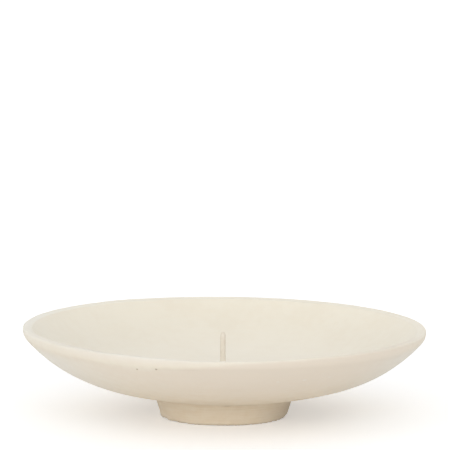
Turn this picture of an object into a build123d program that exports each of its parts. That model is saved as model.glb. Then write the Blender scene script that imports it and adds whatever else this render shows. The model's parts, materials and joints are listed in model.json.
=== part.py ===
"""Candle plate: a footed clay dish with a screwed-in candle spike.

The dish is thrown as one piece, a shallow bowl on a hollow drum foot. Its base is cut a little out of square,
so it leans. A steel spike stands upright in its floor, held by a nut in the hollow of the foot.
Origin on the table, under the middle of the rim. +Z is up, and -Y is the front. Lengths are in millimetres.
"""

import os
from math import cos, pi, radians, sin, tan

from build123d import *

# Bowl
RIM_DIAMETER = 230.0
RIM_HEIGHT = 50.8
DISH_LEAN = 0.54  # degrees, the right side down
BELLY_RADIUS = 265.0  # the wide flat arc under the bowl
BELLY_BOTTOM = 9.4  # height where that arc would cross the axis, inside the foot
WALL_SLOPE = 48.0  # degrees from level, where the wall meets the lip
LIP_UNDER_ROUND = 7.5  # the soft turn from the wall up to the widest line
LIP_TOP_ROUND = 1.1  # the crest, just inside the widest line
LIP_FALL = 10.0  # degrees, the lip's top slopes down into the bowl
LIP_THICKNESS = 5.4
LIP_INNER_BEVEL = 0.9
INNER_BELLY_RADIUS = 268.0
INNER_WALL_SLOPE = 50.0
FLOOR_HEIGHT = 15.8  # lowest point of the hollow

# Foot
FOOT_DIAMETER = 71.6
FOOT_TAPER = 17.5  # degrees from upright, wider towards the bowl
FOOT_BLEND_HEIGHT = 13.0  # top of the foot's own clay, inside the bowl's wall
FOOT_TRIM = 1.0  # clay below the table line that the level cut takes off
FOOT_EDGE_BEVEL = 0.7
RECESS_DIAMETER = 54.0
RECESS_TAPER = 8.0  # degrees, narrower towards the roof
RECESS_ROOF = 9.2
RECESS_CORNER_BEVEL = 2.5

# Spike and the way it is held
SPIKE_OFFSET = -0.9  # the hole was drilled a little left of the middle
SPIKE_DIAMETER = 3.2
SPIKE_TOP = 48.0
TIP_LENGTH = 1.8
TIP_DIAMETER = 1.6
FLANGE_DIAMETER = 10.0
FLANGE_THICKNESS = 1.6
FLANGE_BEVEL = 0.4
THREAD_DIAMETER = 4.0
THREAD_TAIL = 1.2  # thread left showing below the nut
THREAD_CHAMFER = 0.5
HOLE_DIAMETER = 5.0
SPOT_FACE_DEPTH = 0.2  # level faces cut round both ends of the hole
SEAT_DIAMETER = 13.0
UNDER_SEAT_DIAMETER = 16.0
SEAT_WASHER_DIAMETER = 11.0
SOFT_WASHER_THICKNESS = 1.0
SOFT_WASHER_CLEARANCE = 0.1  # on the bore's diameter
BACKING_WASHER_DIAMETER = 14.0
STEEL_WASHER_DIAMETER = 12.0
STEEL_WASHER_THICKNESS = 1.0
STEEL_WASHER_CLEARANCE = 0.3
NUT_SIDES = 6
NUT_ACROSS_FLATS = 7.0
NUT_HEIGHT = 3.2
NUT_CONE_INSET = 0.15  # the turned cone starts this far inside the flats
NUT_CHAMFER_ANGLE = 30.0
NUT_MOUTH_CHAMFER = 0.3
NUT_CLEARANCE = 0.05

# Levels along the spike, from the floor up and from the recess roof down
SEAT_HEIGHT = FLOOR_HEIGHT - SPOT_FACE_DEPTH
FLANGE_BASE = SEAT_HEIGHT + SOFT_WASHER_THICKNESS
UNDER_SEAT_HEIGHT = RECESS_ROOF + SPOT_FACE_DEPTH
BACKING_WASHER_BASE = UNDER_SEAT_HEIGHT - SOFT_WASHER_THICKNESS
STEEL_WASHER_BASE = BACKING_WASHER_BASE - STEEL_WASHER_THICKNESS
NUT_BASE = STEEL_WASHER_BASE - NUT_HEIGHT
THREAD_END = NUT_BASE - THREAD_TAIL

lean = radians(DISH_LEAN)
bowl_plane = Plane((0, 0, RIM_HEIGHT), x_dir=(cos(lean), 0, -sin(lean)), z_dir=(0, -1, 0))
bowl_axis = Axis(bowl_plane.origin, bowl_plane.y_dir)
spike_plane = Plane((SPIKE_OFFSET, 0, 0), x_dir=(1, 0, 0), z_dir=(0, -1, 0))
spike_axis = Axis((SPIKE_OFFSET, 0, 0), (0, 0, 1))


def spike_level(height):
    """A level plane at this height, centred on the spike."""
    return Plane((SPIKE_OFFSET, 0, height))


def bowl_curve(bottom, lip, slope, belly_radius):
    """Two tangent arcs from the axis to a lip point: the flat belly, then the rising wall."""
    inward = Vector(-sin(radians(slope)), cos(radians(slope)))
    belly_centre = Vector(bottom) + Vector(0, belly_radius)
    reach = Vector(lip) - belly_centre
    wall_radius = (belly_radius**2 - reach.length**2) / (2 * (reach.dot(inward) + belly_radius))
    wall_centre = Vector(lip) + inward * wall_radius
    meeting = belly_centre + (wall_centre - belly_centre).normalized() * belly_radius
    belly = TangentArc(bottom, meeting, tangent=(1, 0))
    TangentArc(meeting, lip, tangent=belly % 1)


def washer(outer, bore, base, thickness):
    """A flat ring round the spike."""
    with BuildPart() as ring:
        with BuildSketch(spike_level(base)):
            Circle(outer / 2)
            Circle(bore / 2, mode=Mode.SUBTRACT)
        extrude(amount=thickness)
    return ring


# Dish: turned about the leaning axis, with heights in its section measured from the rim
rim_radius = RIM_DIAMETER / 2
outer_lip = (
    rim_radius - LIP_UNDER_ROUND * (1 - sin(radians(WALL_SLOPE))),
    -LIP_TOP_ROUND - LIP_UNDER_ROUND * cos(radians(WALL_SLOPE)),
)
rim_widest = (rim_radius, -LIP_TOP_ROUND)
crest = (
    rim_radius - LIP_TOP_ROUND * (1 + sin(radians(LIP_FALL))),
    LIP_TOP_ROUND * (cos(radians(LIP_FALL)) - 1),
)
inner_lip_radius = rim_radius - LIP_THICKNESS
inner_lip = (inner_lip_radius, crest[1] - (crest[0] - inner_lip_radius) * tan(radians(LIP_FALL)))
outer_bottom = (0, BELLY_BOTTOM - RIM_HEIGHT)
inner_bottom = (0, FLOOR_HEIGHT - RIM_HEIGHT)
trim_level = -RIM_HEIGHT - FOOT_TRIM
foot_flare = tan(radians(FOOT_TAPER))
foot_radius = FOOT_DIAMETER / 2
neck = (foot_radius + FOOT_BLEND_HEIGHT * foot_flare, FOOT_BLEND_HEIGHT - RIM_HEIGHT)
recess_flare = tan(radians(RECESS_TAPER))
recess_radius = RECESS_DIAMETER / 2
roof_corner = (recess_radius - RECESS_ROOF * recess_flare, RECESS_ROOF - RIM_HEIGHT)

with BuildPart() as dish:
    with BuildSketch(bowl_plane) as section:
        with BuildLine():
            bowl_curve(outer_bottom, outer_lip, WALL_SLOPE, BELLY_RADIUS)
            RadiusArc(outer_lip, rim_widest, -LIP_UNDER_ROUND)
            RadiusArc(rim_widest, crest, -LIP_TOP_ROUND)
            Line(crest, inner_lip)
            bowl_curve(inner_bottom, inner_lip, INNER_WALL_SLOPE, INNER_BELLY_RADIUS)
            Line(inner_bottom, outer_bottom)
        make_face()
        with BuildLine():
            Polyline(
                (0, trim_level),
                (foot_radius - FOOT_TRIM * foot_flare, trim_level),
                neck,
                (0, neck[1]),
                close=True,
            )
        make_face()
        with BuildLine():
            Polyline(
                (0, trim_level),
                (recess_radius + FOOT_TRIM * recess_flare, trim_level),
                roof_corner,
                (0, roof_corner[1]),
                close=True,
            )
        make_face(mode=Mode.SUBTRACT)
        chamfer(section.vertices().sort_by_distance(inner_lip)[0], LIP_INNER_BEVEL)
        chamfer(section.vertices().sort_by_distance(roof_corner)[0], RECESS_CORNER_BEVEL)
    revolve(axis=bowl_axis)
    split(bisect_by=Plane.XY, keep=Keep.TOP)
    with BuildSketch(spike_level(SEAT_HEIGHT)):
        Circle(SEAT_DIAMETER / 2)
    extrude(amount=FLANGE_BASE - SEAT_HEIGHT, mode=Mode.SUBTRACT)
    with BuildSketch(spike_level(UNDER_SEAT_HEIGHT)):
        Circle(UNDER_SEAT_DIAMETER / 2)
    extrude(amount=BACKING_WASHER_BASE - UNDER_SEAT_HEIGHT, mode=Mode.SUBTRACT)
    with BuildSketch(spike_level(UNDER_SEAT_HEIGHT)):
        Circle(HOLE_DIAMETER / 2)
    extrude(amount=SEAT_HEIGHT - UNDER_SEAT_HEIGHT, mode=Mode.SUBTRACT)
    chamfer(dish.faces().sort_by(Axis.Z)[0].edges(), FOOT_EDGE_BEVEL)
dish.part.label = "dish"

# Spike: turned pin, flange and threaded shank on one axis
pin_radius = SPIKE_DIAMETER / 2
thread_radius = THREAD_DIAMETER / 2
flange_radius = FLANGE_DIAMETER / 2
flange_top = FLANGE_BASE + FLANGE_THICKNESS

with BuildPart() as candle_spike:
    with BuildSketch(spike_plane) as spike_section:
        Polygon(
            (0, THREAD_END),
            (thread_radius - THREAD_CHAMFER, THREAD_END),
            (thread_radius, THREAD_END + THREAD_CHAMFER),
            (thread_radius, FLANGE_BASE),
            (flange_radius, FLANGE_BASE),
            (flange_radius, flange_top),
            (pin_radius, flange_top),
            (pin_radius, SPIKE_TOP - TIP_LENGTH),
            (TIP_DIAMETER / 2, SPIKE_TOP),
            (0, SPIKE_TOP),
            align=None,
        )
        flange_edge = spike_section.vertices().sort_by_distance((flange_radius, flange_top))[0]
        chamfer(flange_edge, FLANGE_BEVEL)
    revolve(axis=spike_axis)
candle_spike.part.label = "candle_spike"

# Washers: soft ones against the clay on both sides of the floor, and a steel one under the nut
soft_bore = THREAD_DIAMETER + SOFT_WASHER_CLEARANCE
steel_bore = THREAD_DIAMETER + STEEL_WASHER_CLEARANCE
seat_washer = washer(SEAT_WASHER_DIAMETER, soft_bore, SEAT_HEIGHT, SOFT_WASHER_THICKNESS)
seat_washer.part.label = "seat_washer"
backing_washer = washer(BACKING_WASHER_DIAMETER, soft_bore, BACKING_WASHER_BASE, SOFT_WASHER_THICKNESS)
backing_washer.part.label = "backing_washer"
steel_washer = washer(STEEL_WASHER_DIAMETER, steel_bore, STEEL_WASHER_BASE, STEEL_WASHER_THICKNESS)
steel_washer.part.label = "steel_washer"

# Nut: a hexagon whose corners are turned off at the lower end, with a countersunk bore
nut_corner_radius = NUT_ACROSS_FLATS / 2 / cos(pi / NUT_SIDES)
nut_cone_radius = NUT_ACROSS_FLATS / 2 - NUT_CONE_INSET
nut_cone_height = (nut_corner_radius - nut_cone_radius) * tan(radians(NUT_CHAMFER_ANGLE))
nut_bore_radius = (THREAD_DIAMETER + NUT_CLEARANCE) / 2

with BuildPart() as hex_nut:
    with BuildSketch(spike_level(NUT_BASE)):
        RegularPolygon(nut_corner_radius, NUT_SIDES)
    extrude(amount=NUT_HEIGHT)
    with BuildSketch(spike_plane):
        Polygon(
            (nut_bore_radius, NUT_BASE),
            (nut_cone_radius, NUT_BASE),
            (nut_corner_radius, NUT_BASE + nut_cone_height),
            (nut_corner_radius, NUT_BASE + NUT_HEIGHT),
            (nut_bore_radius, NUT_BASE + NUT_HEIGHT),
            align=None,
        )
    revolve(axis=spike_axis, mode=Mode.INTERSECT)
    bore_mouths = hex_nut.edges().filter_by(GeomType.CIRCLE).sort_by(SortBy.RADIUS)[:2]
    chamfer(bore_mouths.sort_by(Axis.Z)[0], NUT_MOUTH_CHAMFER)
hex_nut.part.label = "hex_nut"

os.makedirs("parts", exist_ok=True)
for piece in (dish, candle_spike, seat_washer, backing_washer, steel_washer, hex_nut):
    export_step(piece.part, f"parts/{piece.part.label}.step")
    print(f"{piece.part.label}: {piece.part.volume / 1000:.2f} cm3")
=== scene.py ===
# %% [markdown]
# # A clay candle plate
#
# The real object is a shallow dish of pale clay on a small hollow foot, with a painted steel pin standing
# in its middle for a candle. A nut in the hollow of the foot holds the pin. This lesson dresses the packed
# CAD model of it: every piece is modelled again with the marks of the hand on it, in the same place, and
# gets a finish made of nodes. Lengths of the object are written in millimetres and turned into Blender's
# metres by `MM`.

import json
import math

import bpy
from mathutils import Matrix, Vector, geometry, noise


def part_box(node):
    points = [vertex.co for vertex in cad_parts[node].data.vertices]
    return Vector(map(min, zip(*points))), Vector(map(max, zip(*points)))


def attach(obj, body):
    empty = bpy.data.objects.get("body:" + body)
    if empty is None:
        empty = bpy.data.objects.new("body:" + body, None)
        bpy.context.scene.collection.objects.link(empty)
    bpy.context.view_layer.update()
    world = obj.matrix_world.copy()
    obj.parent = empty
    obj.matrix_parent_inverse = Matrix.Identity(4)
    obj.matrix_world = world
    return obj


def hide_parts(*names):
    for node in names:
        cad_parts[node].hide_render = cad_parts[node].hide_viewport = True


MM = 0.001
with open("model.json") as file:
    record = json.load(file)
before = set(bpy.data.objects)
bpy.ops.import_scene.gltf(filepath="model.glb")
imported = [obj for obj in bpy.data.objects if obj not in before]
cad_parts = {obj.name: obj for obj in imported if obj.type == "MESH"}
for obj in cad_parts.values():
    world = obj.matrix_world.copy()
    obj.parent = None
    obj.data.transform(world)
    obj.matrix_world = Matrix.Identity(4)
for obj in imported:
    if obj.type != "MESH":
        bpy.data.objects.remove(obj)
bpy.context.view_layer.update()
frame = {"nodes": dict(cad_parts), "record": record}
print("CAD nodes:", sorted(frame["nodes"]))

# %% [markdown]
# ## Camera
#
# The photograph looks almost level across the dish, from a few metres away through a long lens, so the near
# and the far side of the rim curve almost alike. A camera could be placed by eye, but a fit of the rim, the
# foot and the pin gives its height and distance. The lens follows from how many pixels a metre takes up.
# The dish sits low in the picture, so the camera is pitched up until a point on the axis falls on its pixel.

# %% Camera
IMAGE_SIZE = 450  # pixels, both ways
SENSOR = 36.0  # millimetres of film across the picture
VIEW_ELEVATION = math.radians(9.52)
VIEW_DISTANCE = 3.4
VIEW_END = 50.0  # nothing past this distance is drawn
PIXELS_PER_METRE = 1751.4  # at the distance of the axis
AIM = Vector((0, 0, 0.025))  # a point on the axis, halfway up the dish
AIM_PIXEL = (224.5, 371.84)

focal_pixels = PIXELS_PER_METRE * VIEW_DISTANCE
backwards = Vector((0, -math.cos(VIEW_ELEVATION), math.sin(VIEW_ELEVATION)))
sideways = Vector(((IMAGE_SIZE / 2 - AIM_PIXEL[0]) / PIXELS_PER_METRE, 0, 0))
pitch_up = math.atan((AIM_PIXEL[1] - IMAGE_SIZE / 2) / focal_pixels)

bpy.ops.object.select_all(action="DESELECT")
bpy.ops.object.camera_add(
    location=AIM + backwards * VIEW_DISTANCE + sideways,
    rotation=(math.pi / 2 - VIEW_ELEVATION + pitch_up, 0, 0),
)
camera = bpy.context.object
camera.name = "photo_camera"
camera.data.sensor_width = SENSOR
camera.data.lens = focal_pixels * SENSOR / IMAGE_SIZE
camera.data.clip_end = VIEW_END
bpy.context.scene.camera = camera
print(f"Camera {camera.data.lens:.0f} mm lens at", tuple(round(x, 3) for x in camera.location))

# %% [markdown]
# ## Shader maths in Python
#
# A finish is a small network of nodes. Wiring each Math node by hand hides what it does, so one small class
# wraps an output socket and lets ordinary arithmetic add the nodes: `1 - mask * 0.2` makes two of them.
# Every other node comes from the one method `node`, which sets the node's options first and then fills or
# links its sockets.

# %% The socket class
class Shade:
    """An output socket in a node tree. Arithmetic on it adds Math nodes."""

    def __init__(self, tree, socket=None):
        self.tree = tree
        self.socket = socket

    def node(self, kind, settings=None, inputs=None, output=None):
        """Add a node, with its settings set before its sockets, and return one of its outputs."""
        made = self.tree.nodes.new(kind)
        for name, value in (settings or {}).items():
            setattr(made, name, value)
        for name, value in (inputs or {}).items():
            target = made.inputs[name]
            if isinstance(name, str):
                target = next(s for s in made.inputs if s.enabled and s.name == name)
            if isinstance(value, Shade):
                self.tree.links.new(value.socket, target)
            else:
                target.default_value = value
        shown = [s for s in made.outputs if s.enabled]
        return Shade(self.tree, made.outputs[output] if output else shown[0] if shown else None)

    def math(self, operation, *values):
        return self.node("ShaderNodeMath", {"operation": operation}, dict(enumerate(values)))

    def __add__(self, other):
        return self.math("ADD", self, other)

    def __sub__(self, other):
        return self.math("SUBTRACT", self, other)

    def __rsub__(self, other):
        return self.math("SUBTRACT", other, self)

    def __mul__(self, other):
        return self.math("MULTIPLY", self, other)

    def __truediv__(self, other):
        return self.math("DIVIDE", self, other)

    __radd__ = __add__
    __rmul__ = __mul__


# %% Colours as a picture shows them
def srgb(red, green, blue):
    """A colour as a picture shows it, 0 to 255, turned into the linear values that shaders use."""
    def linear(level):
        level /= 255
        return level / 12.92 if level <= 0.04045 else ((level + 0.055) / 1.055) ** 2.4

    return (linear(red), linear(green), linear(blue), 1.0)


print("Paper white as a shader sees it:", [round(x, 3) for x in srgb(240, 240, 240)])

# %% [markdown]
# ## Studio: floor, world and lamps
#
# The photograph is a cut-out on white. A white picture could be had by flooding the dish with light, but
# then its pale clay would clip. Instead the floor and the world turn white only for rays that come straight
# from the camera, or by way of a mirror or glass, and the light on the object stays at a plain level. The
# floor still takes the shadow. In the photograph the belly, which faces down, is almost as light as the
# bowl. So two broad, soft lamps stand low, one on the left and one in front, with a faint one behind. The
# rest of the light comes evenly from all round.

# %% Floor
FLOOR_SIZE = 12.0
FLOOR_DROP = 0.02 * MM  # just under the foot
FLOOR_COLOUR = srgb(247, 244, 240)
FLOOR_WHITE = srgb(240, 240, 240)
FLOOR_GLOW = 0.35  # lifts the lit floor to white in the picture


def direct_rays(shade):
    """1 for rays that show the background: straight from the camera, mirrored or through glass."""
    rays = [shade.node("ShaderNodeLightPath", output=name)
            for name in ("Is Camera Ray", "Is Glossy Ray", "Is Transmission Ray")]
    return shade.math("MINIMUM", rays[0] + rays[1] + rays[2], 1.0)


bpy.ops.object.select_all(action="DESELECT")
bpy.ops.mesh.primitive_plane_add(size=FLOOR_SIZE, location=(0, 0, -FLOOR_DROP))
floor = bpy.context.object
floor.name = "studio_floor"
floor_material = bpy.data.materials.new("pale_floor")
floor_material.use_nodes = True
floor_material.node_tree.nodes.clear()
shade = Shade(floor_material.node_tree)
seen = direct_rays(shade)
whitened = {"Factor": seen, "A": FLOOR_COLOUR, "B": FLOOR_WHITE}
floor_colour = shade.node("ShaderNodeMix", {"data_type": "RGBA"}, whitened)
paper = shade.node("ShaderNodeBsdfDiffuse", inputs={"Color": floor_colour})
glow = shade.node("ShaderNodeEmission", inputs={"Strength": seen * FLOOR_GLOW})
lit_paper = shade.node("ShaderNodeAddShader", inputs={0: paper, 1: glow})
shade.node("ShaderNodeOutputMaterial", inputs={"Surface": lit_paper})
floor.data.materials.append(floor_material)
print(f"Floor {FLOOR_SIZE:.0f} m wide, {FLOOR_DROP / MM:.2f} mm under the foot")

# %% World
AMBIENT = 0.865

world = bpy.data.worlds.new("studio")
bpy.context.scene.world = world
world.use_nodes = True
world.node_tree.nodes.clear()
shade = Shade(world.node_tree)
seen = direct_rays(shade)
sky = shade.node("ShaderNodeBackground", inputs={"Strength": seen + (1 - seen) * AMBIENT})
shade.node("ShaderNodeOutputWorld", inputs={"Surface": sky})
bpy.context.scene.view_settings.view_transform = "Standard"
print("Light from all round:", AMBIENT, "of white")

# %% Lamps
LAMPS = (  # name, degrees to the right of the camera, degrees up, strength
    ("soft_left", -50, 10, 0.62),
    ("soft_front", 8, 10, 1.3),
    ("soft_back", 180, 35, 0.18),
)
LAMP_ANGLE = math.radians(60)

level_light = AMBIENT
for name, azimuth, elevation, strength in LAMPS:
    turn, rise = math.radians(azimuth), math.radians(elevation)
    around = Vector((math.sin(turn), -math.cos(turn), 0))
    towards_lamp = around * math.cos(rise) + Vector((0, 0, math.sin(rise)))
    bpy.ops.object.light_add(type="SUN", location=towards_lamp)
    lamp = bpy.context.object
    lamp.name = name
    lamp.rotation_euler = towards_lamp.to_track_quat("Z", "Y").to_euler()
    lamp.data.energy = strength
    lamp.data.angle = LAMP_ANGLE
    level_light += strength * towards_lamp.z / math.pi
print(f"Light on a level surface: {level_light:.2f} of white")

# %% [markdown]
# ## Dish: the turned section
#
# The dish was thrown on a wheel, so its whole shape is one closed outline, turned round an axis: over the
# floor of the bowl, up the inner wall, across the lip, down the outer wall to the neck, down the foot, and
# back through the hollow under it. It could be subdivided from a sphere, but a potter's rib works along this
# outline too, so a pen walks it with lines, arcs and rounded corners. The steps between its points are small
# where an edge has to look crisp.

# %% A pen for turned sections
class Pen:
    """Walks round a section and leaves points, in millimetres from the axis and from the table."""

    def __init__(self, start):
        self.points = [Vector(start)]

    def line(self, end, step):
        """Straight on to a point."""
        start, end = self.points[-1], Vector(end)
        count = max(1, round((end - start).length / step))
        self.points += [start.lerp(end, i / count) for i in range(1, count + 1)]

    def arc(self, end, centre, step):
        """Round a centre, the short way, to a point."""
        spoke, last = self.points[-1] - Vector(centre), Vector(end) - Vector(centre)
        sweep = -spoke.angle_signed(last)
        count = max(2, round(abs(sweep) * spoke.length / step))
        turns = (Matrix.Rotation(sweep * i / count, 2) for i in range(1, count + 1))
        self.points += [Vector(centre) + turn @ spoke for turn in turns]

    def corner(self, corner, beyond, radius, step, edge_step):
        """Straight to a corner and round it, towards a point beyond it."""
        corner = Vector(corner)
        arriving = (corner - self.points[-1]).normalized()
        leaving = (Vector(beyond) - corner).normalized()
        turn = -arriving.angle_signed(leaving)
        cut = radius * math.tan(abs(turn) / 2)
        side = Matrix.Rotation(math.copysign(math.pi / 2, turn), 2) @ arriving
        self.line(corner - arriving * cut, step)
        self.arc(corner + leaving * cut, self.points[-1] + side * radius, edge_step)


# %% Sizes of the dish
dish_low, dish_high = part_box("dish")
spike_mount = next(m for m in frame["record"]["mounts"] if m["name"] == "spike")
RIM_RADIUS = (dish_high.y - dish_low.y) / 2 / MM
RIM_HEIGHT = 50.8  # on the dish's own axis
DISH_LEAN = math.radians(0.54)  # right side down
BELLY_RADIUS = 265.0
BELLY_BOTTOM = 9.4
WALL_SLOPE = math.radians(48)
LIP_UNDER_ROUND = 7.5
LIP_TOP_ROUND = 1.1
LIP_FALL = math.radians(10)
LIP_THICKNESS = 5.4
LIP_INNER_ROUND = 0.9
INNER_BELLY_RADIUS = 268.0
INNER_WALL_SLOPE = math.radians(50)
FLOOR_HEIGHT = 15.8
NECK_ROUND = 0.9
FOOT_RADIUS = 35.8
FOOT_FLARE = math.tan(math.radians(17.5))
FOOT_EDGE_ROUND = 0.5
RECESS_RADIUS = 27.0
RECESS_FLARE = math.tan(math.radians(8))
RECESS_ROOF = 9.2
RECESS_CORNER_ROUND = 3.0
HOLE_RADIUS = 2.5
SEAT_RADIUS = 6.5
SEAT_HEIGHT = 15.6
UNDER_SEAT_RADIUS = 8.0
UNDER_SEAT_HEIGHT = 9.4
HOLE_EDGE_ROUND = 0.15
SPIKE_X = spike_mount["pos_m"][0] / MM
print(f"Rim {2 * RIM_RADIUS:.1f} mm across, spike {SPIKE_X:.2f} mm from the middle")


# %% Two tangent arcs make each wall of the bowl
def bowl_arcs(bottom, lip, slope, belly_radius):
    """The flat belly and the rising wall from the axis to a lip point: both centres and where they meet."""
    inward = Vector((-math.sin(slope), math.cos(slope)))
    belly_centre = Vector((0, bottom + belly_radius))
    reach = Vector(lip) - belly_centre
    wall_radius = (belly_radius**2 - reach.length_squared) / (2 * (reach.dot(inward) + belly_radius))
    wall_centre = Vector(lip) + inward * wall_radius
    meeting = belly_centre + (wall_centre - belly_centre).normalized() * belly_radius
    return belly_centre, wall_centre, meeting


def belly_point(centre, belly_radius, radius):
    """The point of a belly arc at this distance from the axis."""
    return Vector((radius, centre.y - math.sqrt(belly_radius**2 - radius**2)))


crest_height = RIM_HEIGHT - LIP_TOP_ROUND * (1 - math.cos(LIP_FALL))
crest = Vector((RIM_RADIUS - LIP_TOP_ROUND * (1 + math.sin(LIP_FALL)), crest_height))
inner_lip_radius = RIM_RADIUS - LIP_THICKNESS
inner_lip = Vector((inner_lip_radius, crest.y - (crest.x - inner_lip_radius) * math.tan(LIP_FALL)))
rim_widest = Vector((RIM_RADIUS, RIM_HEIGHT - LIP_TOP_ROUND))
outer_lip = rim_widest + LIP_UNDER_ROUND * Vector((math.sin(WALL_SLOPE) - 1, -math.cos(WALL_SLOPE)))
inner_belly, inner_wall, inner_meeting = bowl_arcs(
    FLOOR_HEIGHT, inner_lip, INNER_WALL_SLOPE, INNER_BELLY_RADIUS
)
outer_belly, outer_wall, outer_meeting = bowl_arcs(BELLY_BOTTOM, outer_lip, WALL_SLOPE, BELLY_RADIUS)
foot_bottom = Vector((FOOT_RADIUS, 0))
foot_slant = Vector((FOOT_FLARE, 1))
crossings = geometry.intersect_line_sphere_2d(
    foot_bottom, foot_bottom + foot_slant * RIM_HEIGHT, outer_belly, BELLY_RADIUS, True
)
neck = next(p for p in crossings if p)
print(f"Neck at radius {neck.x:.2f}, height {neck.y:.2f} mm")

# %% Walk the section
WALL_STEP = 1.7
LIP_STEP = 0.6
EDGE_STEP = 0.22
FOOT_STEP = 0.5
HOLE_MIDDLE = (SEAT_HEIGHT + UNDER_SEAT_HEIGHT) / 2

seat_side = belly_point(inner_belly, INNER_BELLY_RADIUS, SEAT_RADIUS)
up_inner_wall = Vector((math.cos(INNER_WALL_SLOPE), math.sin(INNER_WALL_SLOPE)))
neck_start = belly_point(outer_belly, BELLY_RADIUS, neck.x + 2 * NECK_ROUND)
recess_edge = Vector((RECESS_RADIUS, 0))
roof_corner = Vector((RECESS_RADIUS - RECESS_ROOF * RECESS_FLARE, RECESS_ROOF))
under_edge = (HOLE_RADIUS, UNDER_SEAT_HEIGHT)

pen = Pen((HOLE_RADIUS, HOLE_MIDDLE))
pen.corner((HOLE_RADIUS, SEAT_HEIGHT), (SEAT_RADIUS, SEAT_HEIGHT), HOLE_EDGE_ROUND, WALL_STEP, EDGE_STEP)
pen.line((SEAT_RADIUS, SEAT_HEIGHT), LIP_STEP)
pen.line(seat_side, EDGE_STEP)
pen.arc(inner_meeting, inner_belly, WALL_STEP)
pen.arc(inner_lip - LIP_INNER_ROUND * up_inner_wall, inner_wall, WALL_STEP)
pen.corner(inner_lip, crest, LIP_INNER_ROUND, LIP_STEP, LIP_STEP / 2)
pen.line(crest, LIP_STEP)
pen.arc(rim_widest, rim_widest - Vector((LIP_TOP_ROUND, 0)), LIP_STEP / 2)
pen.arc(outer_lip, rim_widest - Vector((LIP_UNDER_ROUND, 0)), LIP_STEP)
pen.arc(outer_meeting, outer_wall, WALL_STEP)
pen.arc(neck_start, outer_belly, WALL_STEP)
pen.corner(neck, foot_bottom, NECK_ROUND, LIP_STEP, EDGE_STEP)
pen.corner(foot_bottom, recess_edge, FOOT_EDGE_ROUND, FOOT_STEP, EDGE_STEP)
pen.corner(recess_edge, roof_corner, FOOT_EDGE_ROUND, FOOT_STEP, EDGE_STEP)
pen.corner(roof_corner, (UNDER_SEAT_RADIUS, RECESS_ROOF), RECESS_CORNER_ROUND, LIP_STEP, LIP_STEP)
pen.line((UNDER_SEAT_RADIUS, RECESS_ROOF), WALL_STEP)
pen.line((UNDER_SEAT_RADIUS, UNDER_SEAT_HEIGHT), EDGE_STEP)
pen.corner(under_edge, (HOLE_RADIUS, HOLE_MIDDLE), HOLE_EDGE_ROUND, LIP_STEP, EDGE_STEP)
pen.line((HOLE_RADIUS, HOLE_MIDDLE), WALL_STEP)
print(f"Section of the dish: {len(pen.points)} points")

# %% [markdown]
# ## Dish: from outline to turned clay
#
# With a window open one would draw the outline and press Spin. The same is done here: a plane is merged to a
# single vertex, the vertex is extruded along the outline, and `mesh.spin` turns it right round. Spin leaves
# its first and last rows apart and may point the faces inwards, so doubles are merged and the normals
# recalculated.

# %% Spin the section
DISH_STEPS = 288
MERGE_DISTANCE = 1e-3 * MM


def turned_piece(name, outline, steps):
    """Extrude a vertex along an outline and spin it round the Z axis into a closed piece."""
    places = [Vector((p.x, 0, p.y)) * MM for p in outline]
    bpy.ops.object.select_all(action="DESELECT")
    bpy.ops.mesh.primitive_plane_add(size=MM, location=(0, 0, 0))
    piece = bpy.context.object
    piece.name = piece.data.name = name
    bpy.ops.object.mode_set(mode="EDIT")
    bpy.ops.mesh.select_mode(type="VERT")
    bpy.ops.mesh.select_all(action="SELECT")
    bpy.ops.mesh.merge(type="CENTER")
    bpy.ops.transform.translate(value=places[0])
    for start, end in zip(places, places[1:]):
        bpy.ops.mesh.extrude_vertices_move(TRANSFORM_OT_translate={"value": end - start})
    bpy.ops.mesh.select_all(action="SELECT")
    bpy.ops.mesh.spin(steps=steps, angle=math.tau, center=(0, 0, 0), axis=(0, 0, 1))
    bpy.ops.mesh.select_all(action="SELECT")
    bpy.ops.mesh.remove_doubles(threshold=MERGE_DISTANCE)
    bpy.ops.mesh.normals_make_consistent(inside=False)
    bpy.ops.object.mode_set(mode="OBJECT")
    return piece


dish = turned_piece("clay_dish", pen.points, DISH_STEPS)
print(f"Dish: {len(dish.data.vertices)} vertices, {len(dish.data.polygons)} faces")

# %% [markdown]
# ## Dish: the hand of the potter
#
# A spun mesh is too perfect. On the wheel the clay keeps faint rings from the fingers, the wall swells a
# little here and there, and the lip was wiped by eye: it dips at the front, and at the front left its top is
# level instead of falling into the bowl. A Displace modifier can add noise, but it can't tell the lip from
# the wall, so the vertices are moved in code, each by its distance from the axis, its height and its angle
# round the dish.

# %% Soft steps, swells and noise
def smooth(value):
    """A soft step from 0 to 1."""
    value = min(max(value, 0.0), 1.0)
    return value * value * (3 - 2 * value)


def swell(angle, middle, width):
    """1 at an angle round the dish, fading to 0 beyond the width, in degrees."""
    away = (angle - middle + 180) % 360 - 180
    return math.exp(-((away / width) ** 2))


def swells(angle, spots):
    """The sum of several swells, each given as its middle, its width and its height."""
    return sum(height * swell(angle, middle, width) for middle, width, height in spots)


def angle_of(place):
    """Degrees round the dish: 0 on the right, 90 at the back, 180 on the left, 270 in front."""
    return math.degrees(math.atan2(place.y, place.x)) % 360


def clay_noise(place, size):
    """Soft noise from about -1 to 1 with bumps of this size."""
    return noise.noise(place / size)


print(f"A swell at half its width is {swell(0.5, 0, 1):.2f} high")

# %% Rings and waves of the walls
RING_PITCH = 4.6
RING_DRIFT = 1.5  # how much the rings change on the way round the dish
RING_DEPTH_INSIDE = 0.05
RING_DEPTH_OUTSIDE = 0.03
WAVE_SIZE = 16.0
WAVE_DEPTH = 0.06
DENT_SIZE = 5.0
DENT_DEPTH = 0.02


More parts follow.
